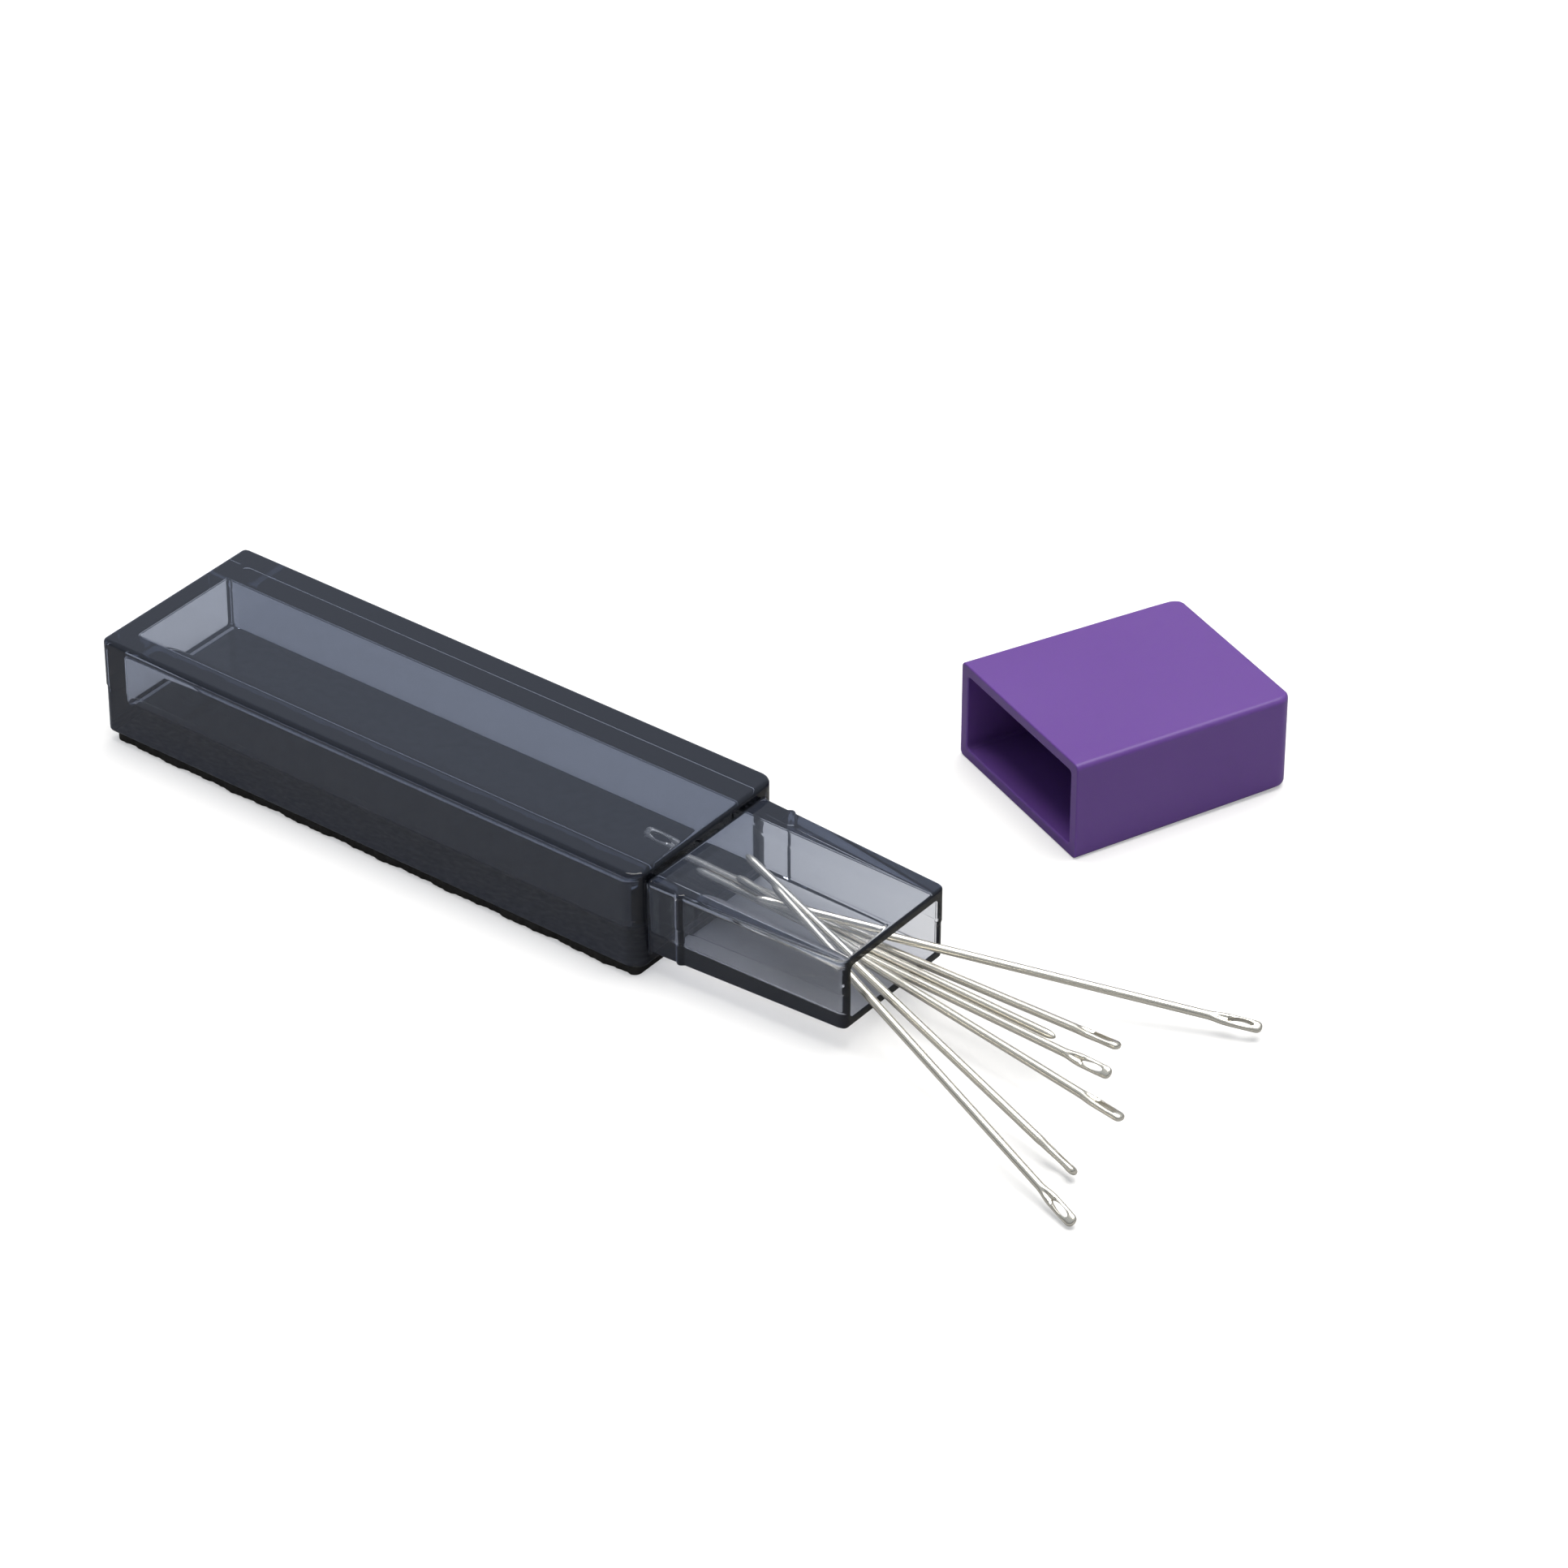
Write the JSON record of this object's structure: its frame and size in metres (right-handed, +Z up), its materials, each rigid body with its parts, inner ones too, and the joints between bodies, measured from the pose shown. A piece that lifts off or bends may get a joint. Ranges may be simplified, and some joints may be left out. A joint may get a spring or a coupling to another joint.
{
  "type": "needle case with needles",
  "caption": "Transparent flat case with a narrower open neck, its slip-on cap beside it, and large-eye blunt needles fanned out of the mouth.",
  "frame": {"origin": "centre of the underside of the black strip, on the surface that the case lies on", "axes": "+X along the case towards its open mouth, +Z up, +Y across the case towards the cap"},
  "size_m": [0.1418, 0.0915, 0.0139],
  "materials": {
    "smoke_plastic": "clear smoke tint, polished, thick walls",
    "black_strip": "dull black, slightly rough edge",
    "purple_plastic": "opaque purple, smooth moulded",
    "needle_steel": "polished nickel-plated steel, warm silver"
  },
  "bodies": {
    "case": {"case_body": "smoke_plastic", "base_strip": "black_strip"},
    "cap": {"cap": "purple_plastic"},
    "needle_1": {"needle_1": "needle_steel"},
    "needle_2": {"needle_2": "needle_steel"},
    "needle_3": {"needle_3": "needle_steel"},
    "needle_4": {"needle_4": "needle_steel"},
    "needle_5": {"needle_5": "needle_steel"},
    "needle_6": {"needle_6": "needle_steel"},
    "needle_7": {"needle_7": "needle_steel"}
  },
  "joints": [
    {"name": "cap_slide", "type": "slide", "parent": "case", "child": "cap", "axis": [0.3843, 0.9232, 0], "range_m": [-0.02, 0.03]},
    {"name": "needle_1_slide", "type": "slide", "parent": "case", "child": "needle_1", "axis": [0.9175, 0.3976, 0], "range_m": [0, 0.021]},
    {"name": "needle_2_slide", "type": "slide", "parent": "case", "child": "needle_2", "axis": [0.9996, 0.0265, 0], "range_m": [-0.007, 0.032]},
    {"name": "needle_3_slide", "type": "slide", "parent": "case", "child": "needle_3", "axis": [0.9998, -0.0188, -0.011], "range_m": [-0.005, 0.038]},
    {"name": "needle_4_slide", "type": "slide", "parent": "case", "child": "needle_4", "axis": [0.9997, -0.019, -0.0176], "range_m": [-0.002, 0.03]},
    {"name": "needle_5_slide", "type": "slide", "parent": "case", "child": "needle_5", "axis": [0.9926, -0.1106, -0.0497], "range_m": [-0.005, 0.024]},
    {"name": "needle_6_slide", "type": "slide", "parent": "case", "child": "needle_6", "axis": [0.9693, -0.246, 0], "range_m": [0, 0.024]},
    {"name": "needle_7_slide", "type": "slide", "parent": "case", "child": "needle_7", "axis": [0.9484, -0.3171, 0], "range_m": [0, 0.018]}
  ]
}
